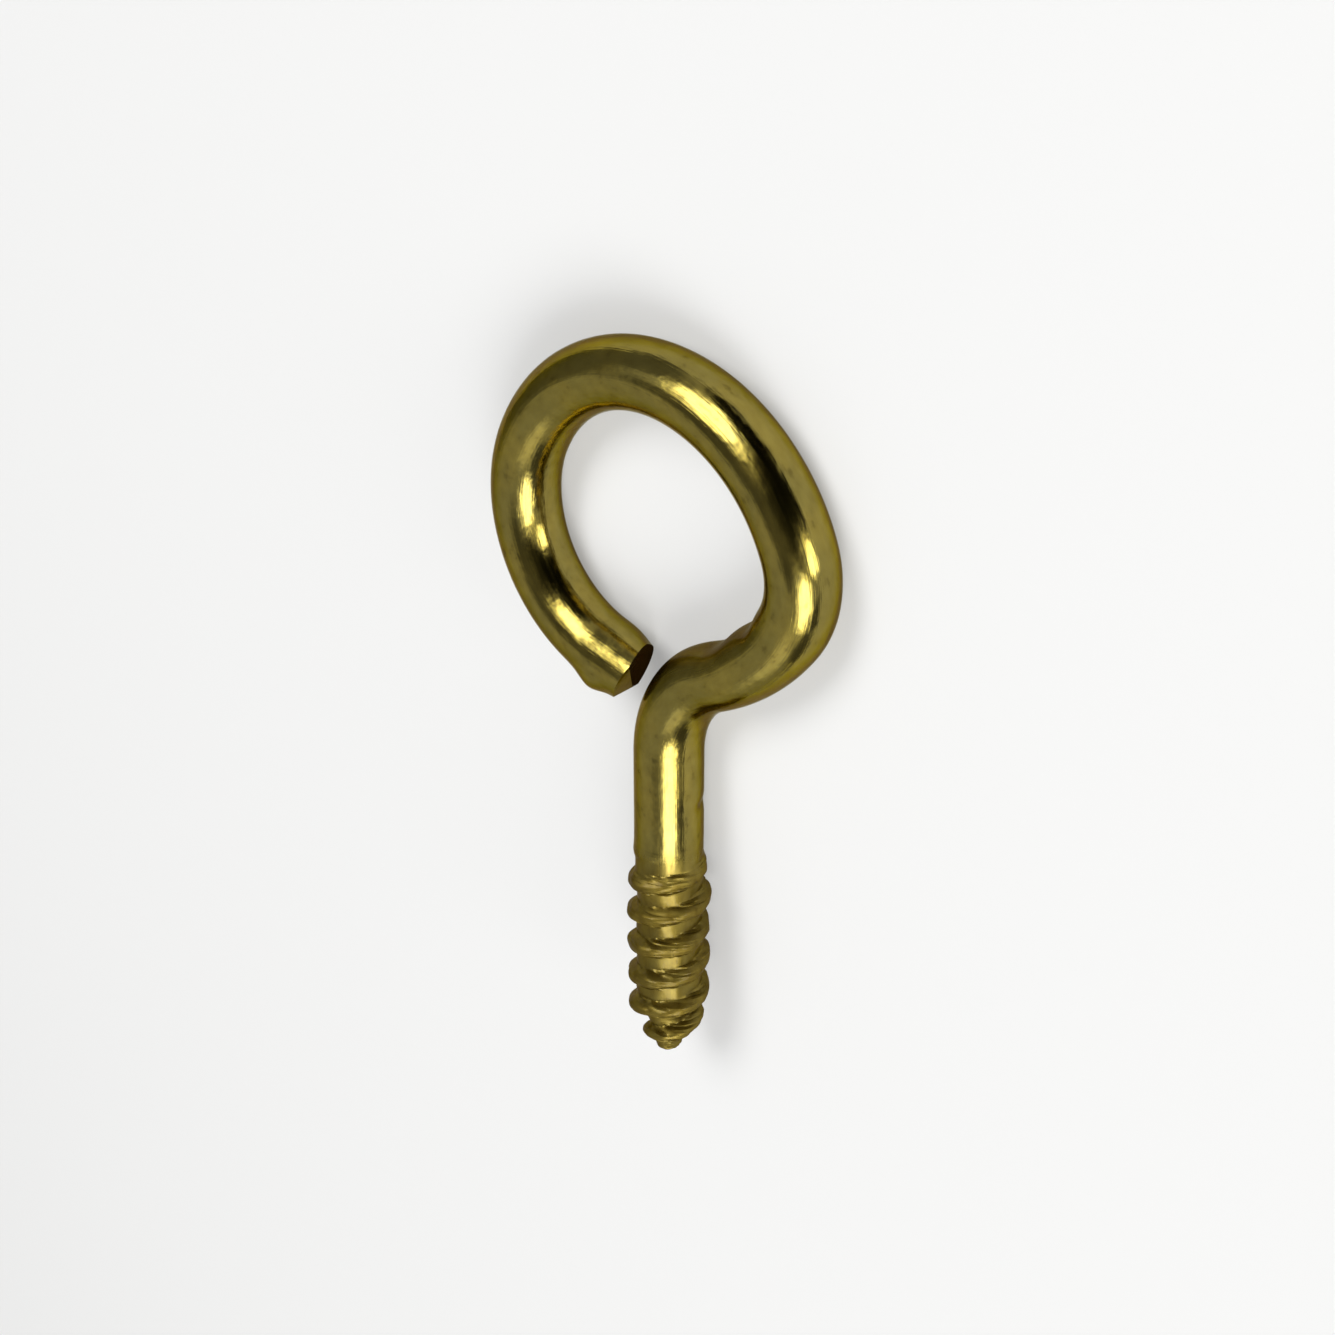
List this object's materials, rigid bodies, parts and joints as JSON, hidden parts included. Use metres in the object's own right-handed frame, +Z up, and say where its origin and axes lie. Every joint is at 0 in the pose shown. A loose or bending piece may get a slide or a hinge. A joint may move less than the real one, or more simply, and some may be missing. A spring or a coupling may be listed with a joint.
{
  "type": "screw eye",
  "caption": "Small round-wire screw eye: an open, slightly oval eye on a short shank with a rolled wood-screw thread and a blunt gimlet point.",
  "frame": {"origin": "under the middle of the part's bounding box, on the surface it lies on", "axes": "+Z up out of that surface and square to the flat eye, -Y towards the screw's point along the shank's shadow, +X towards the eye's foot"},
  "size_m": [0.014, 0.025, 0.0033],
  "materials": {
    "brass_plate": "bright electroplated brass over drawn steel wire, lightly tarnished"
  },
  "bodies": {
    "root": {"screw_eye": "brass_plate"}
  },
  "joints": []
}
